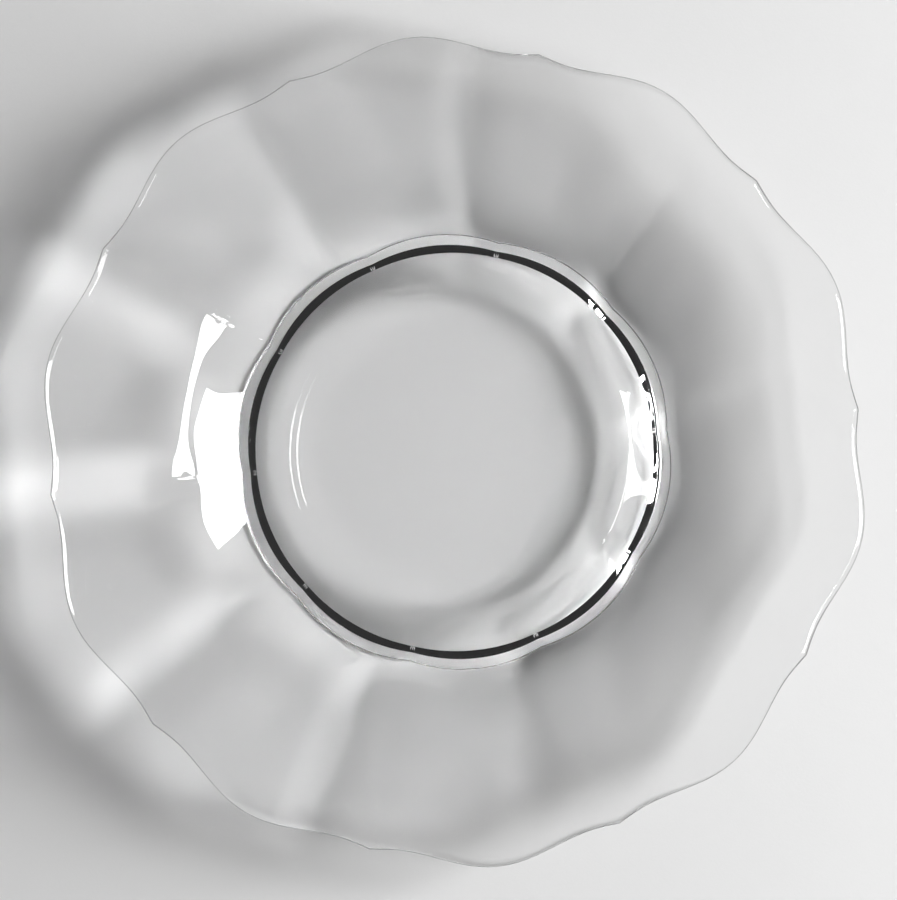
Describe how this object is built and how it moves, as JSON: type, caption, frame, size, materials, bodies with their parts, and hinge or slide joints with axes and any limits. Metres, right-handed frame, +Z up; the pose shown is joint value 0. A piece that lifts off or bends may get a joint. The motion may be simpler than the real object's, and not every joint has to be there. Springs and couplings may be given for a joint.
{
  "type": "underplate",
  "caption": "Round clear glass underplate with a scalloped petal rim, a low ring foot and a flat round seat in the middle that holds the foot of a small bowl.",
  "frame": {"origin": "middle of the foot, on the table that the plate stands on", "axes": "+Z up, the way the dish opens; +X through the tip of a lobe; +Y through the point between two lobes"},
  "size_m": [0.165, 0.1606, 0.0176],
  "materials": {
    "clear_glass": "fire polished, clear"
  },
  "bodies": {
    "root": {"plate": "clear_glass"}
  },
  "joints": []
}
